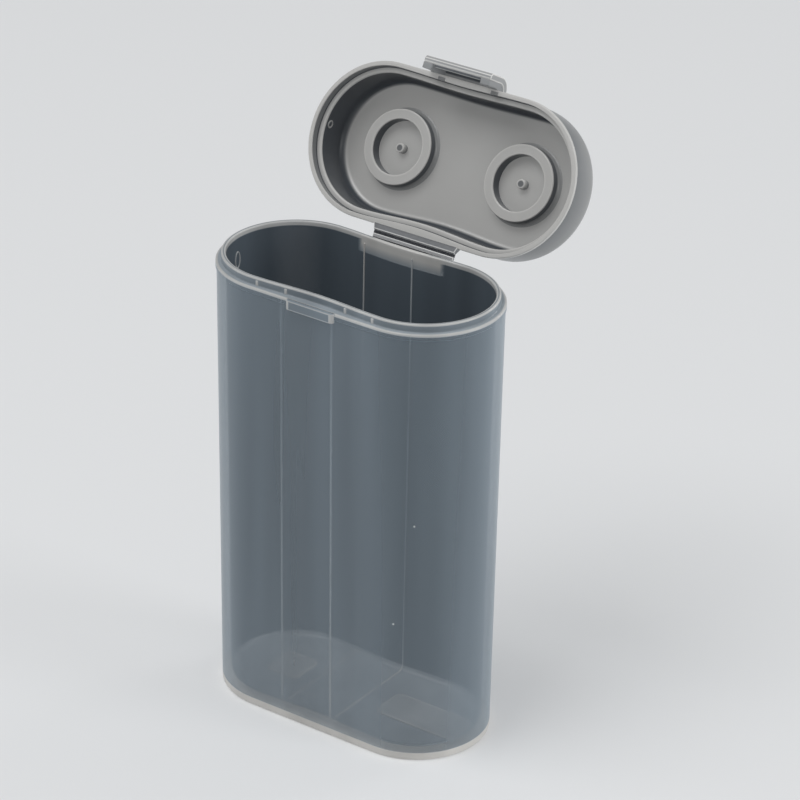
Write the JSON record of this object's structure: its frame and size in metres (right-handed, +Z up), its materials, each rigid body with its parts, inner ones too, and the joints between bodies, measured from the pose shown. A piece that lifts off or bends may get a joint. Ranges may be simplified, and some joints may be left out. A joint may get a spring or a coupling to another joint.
{
  "type": "battery storage case",
  "caption": "Upright flip-top case for two cylindrical cells: round-ended body with a lipped rim, lid on a double living hinge, and a front snap latch.",
  "frame": {"origin": "middle of the case's flat base, on the surface it stands on", "axes": "+Z up out of the mouth, X along the row of two cells, -Y towards the front with the catch, +Y towards the hinge"},
  "size_m": [0.0442, 0.0416, 0.0913],
  "materials": {
    "case_plastic": "frosted translucent, faintly glossy",
    "lid_plastic": "frosted translucent, faintly glossy",
    "latch_plastic": "frosted translucent",
    "hinge_plastic": "thin, clearer translucent"
  },
  "bodies": {
    "case": {"case_floor": "case_plastic", "case_wall": "case_plastic", "case_rim": "case_plastic", "case_lip": "case_plastic", "catch_bar": "case_plastic", "floor_pad_left": "case_plastic", "floor_pad_right": "case_plastic", "case_hinge_flange": "hinge_plastic", "lip_rib_far_left": "case_plastic", "lip_rib_left": "case_plastic", "lip_rib_right": "case_plastic", "lip_rib_far_right": "case_plastic", "hinge_film_lower": "hinge_plastic"},
    "strip": {"hinge_strip": "hinge_plastic"},
    "lid": {"lid_hinge_flange": "hinge_plastic", "lid_rim": "lid_plastic", "lid_skirt": "lid_plastic", "lid_crown": "lid_plastic", "collar_left": "lid_plastic", "collar_right": "lid_plastic", "pip_left": "lid_plastic", "pip_right": "lid_plastic", "hinge_film_upper": "hinge_plastic"},
    "latch": {"latch_hood": "latch_plastic", "latch_cheek_left": "latch_plastic", "latch_cheek_right": "latch_plastic", "latch_hook": "latch_plastic"}
  },
  "joints": [
    {"name": "lower_fold", "type": "hinge", "parent": "case", "child": "strip", "pos_m": [0, 0.0124, 0.06676], "axis": [-1, 0, 0], "range_deg": [-28, 14.3], "deforming": ["hinge_film_lower"]},
    {"name": "upper_fold", "type": "hinge", "parent": "strip", "child": "lid", "pos_m": [0, 0.01287, 0.06764], "axis": [-1, 0, 0], "range_deg": [-91.3, 46.4], "deforming": ["hinge_film_upper"]},
    {"name": "latch_flex", "type": "hinge", "parent": "lid", "child": "latch", "pos_m": [0, 0.0266, 0.08729], "axis": [-1, 0, 0], "range_deg": [0, 6], "stiffness_Nm_per_rad": 0.02}
  ],
  "couplings": [
    {"joint": "lower_fold", "follows": "upper_fold", "ratio": 0.30668}
  ]
}
